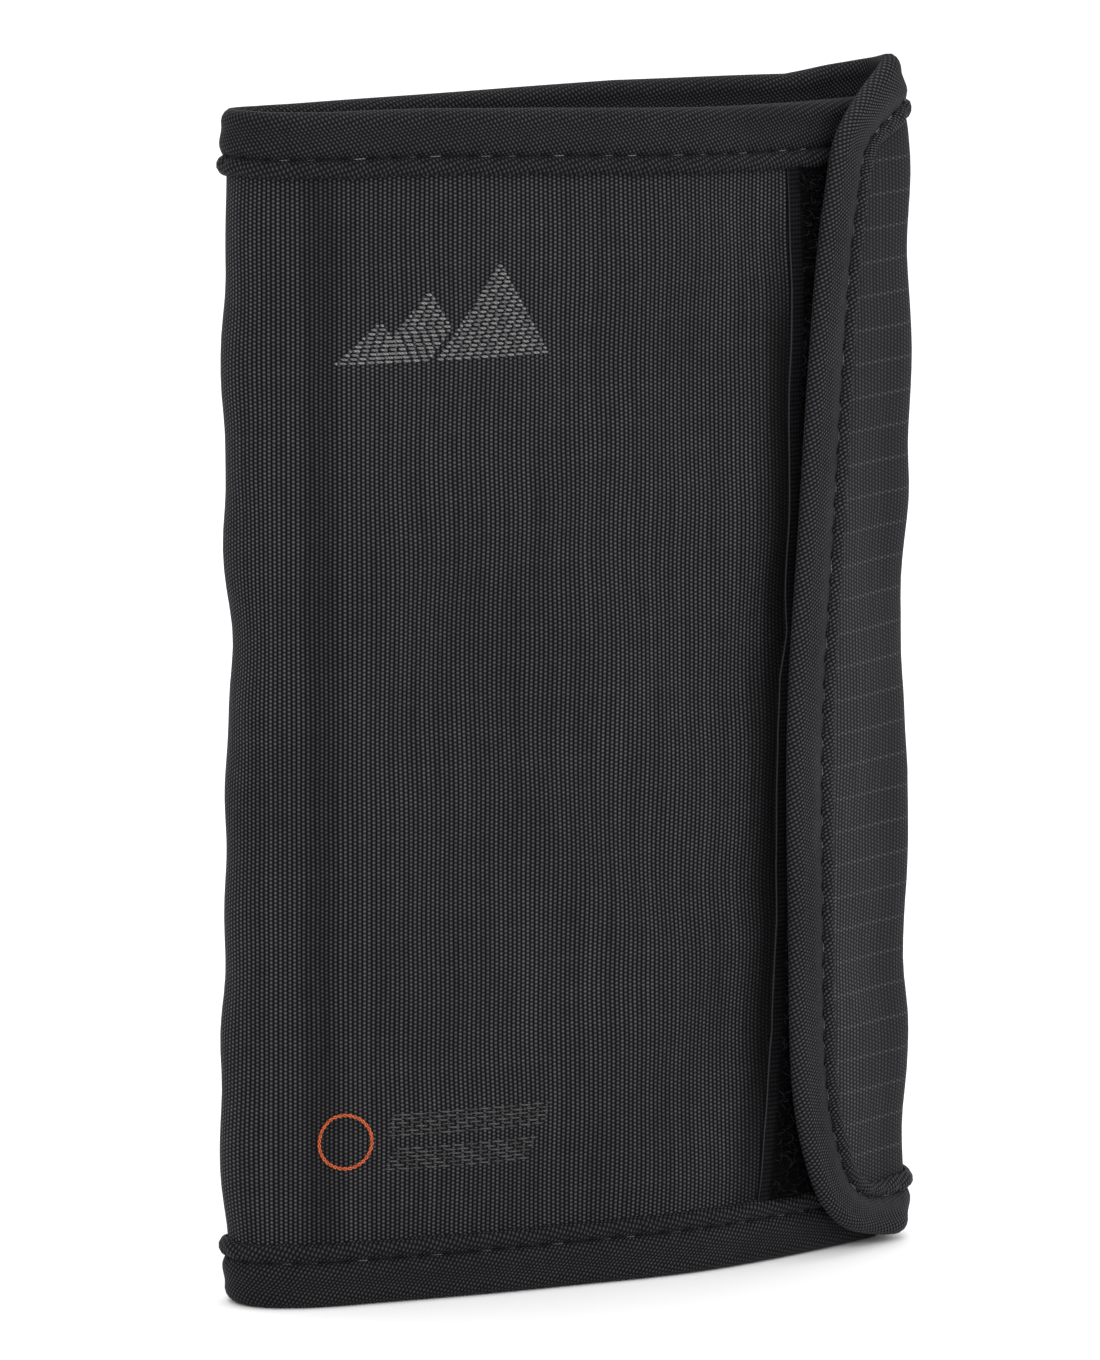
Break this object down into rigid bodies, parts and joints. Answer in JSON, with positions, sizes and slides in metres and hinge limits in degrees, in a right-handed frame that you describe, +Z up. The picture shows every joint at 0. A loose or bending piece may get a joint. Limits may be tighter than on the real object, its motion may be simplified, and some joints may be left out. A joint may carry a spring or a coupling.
{
  "type": "passport holder wallet",
  "caption": "Upright fabric bifold holding a passport, cards and notes, with bound edges and a wrap-over closing flap.",
  "frame": {"origin": "under the middle of the closed wallet, on the surface it stands on", "axes": "+Z up along the fold lines, +X across the width from the spine to the wrap, +Y towards the back; the front faces -Y"},
  "size_m": [0.1, 0.0218, 0.16],
  "materials": {
    "ripstop": "black nylon ripstop, plain weave",
    "binding_tape": "black twill tape",
    "lining_cloth": "dark grey taffeta",
    "shielding_foil": "bright foil",
    "stiffener_sheet": "matte sheet",
    "loop_pile": "black brushed loop pile",
    "hook_face": "black moulded hooks"
  },
  "bodies": {
    "back": {"back_shell": "ripstop", "back_rfid_foil": "shielding_foil", "back_stiffener": "stiffener_sheet", "back_lining": "lining_cloth", "back_binding_top": "binding_tape", "back_binding_bottom": "binding_tape", "note_pocket": "lining_cloth", "card_slot_top": "lining_cloth", "card_slot_middle": "lining_cloth", "card_slot_bottom": "lining_cloth"},
    "spine": {"spine_shell": "ripstop", "spine_lining": "lining_cloth", "spine_binding_top": "binding_tape", "spine_binding_bottom": "binding_tape"},
    "cover": {"cover_shell": "ripstop", "cover_rfid_foil": "shielding_foil", "cover_stiffener": "stiffener_sheet", "cover_lining": "lining_cloth", "cover_binding_top": "binding_tape", "cover_binding_bottom": "binding_tape", "cover_binding_side": "binding_tape", "cover_loop_strip": "loop_pile", "passport_pocket": "lining_cloth"},
    "wrap": {"wrap_shell": "ripstop", "wrap_lining": "lining_cloth", "wrap_binding_top": "binding_tape", "wrap_binding_bottom": "binding_tape"},
    "flap": {"flap_shell": "ripstop", "flap_lining": "lining_cloth", "flap_hook_strip": "hook_face", "flap_binding": "binding_tape"}
  },
  "joints": [
    {"name": "spine_fold", "type": "hinge", "parent": "back", "child": "spine", "pos_m": [-0.05, 0.01092, 0.08], "axis": [0, 0, -1], "range_deg": [0, 90]},
    {"name": "cover_fold", "type": "hinge", "parent": "spine", "child": "cover", "pos_m": [-0.05, -0.00308, 0.08], "axis": [0, 0, -1], "range_deg": [0, 90]},
    {"name": "wrap_fold", "type": "hinge", "parent": "back", "child": "wrap", "pos_m": [0.05, 0.01092, 0.08], "axis": [0, 0, 1], "range_deg": [0, 90]},
    {"name": "flap_fold", "type": "hinge", "parent": "wrap", "child": "flap", "pos_m": [0.05, -0.00758, 0.08], "axis": [0, 0, 1], "range_deg": [0, 90]}
  ],
  "couplings": [
    {"joint": "cover_fold", "follows": "spine_fold", "ratio": 1},
    {"joint": "flap_fold", "follows": "wrap_fold", "ratio": 1}
  ]
}
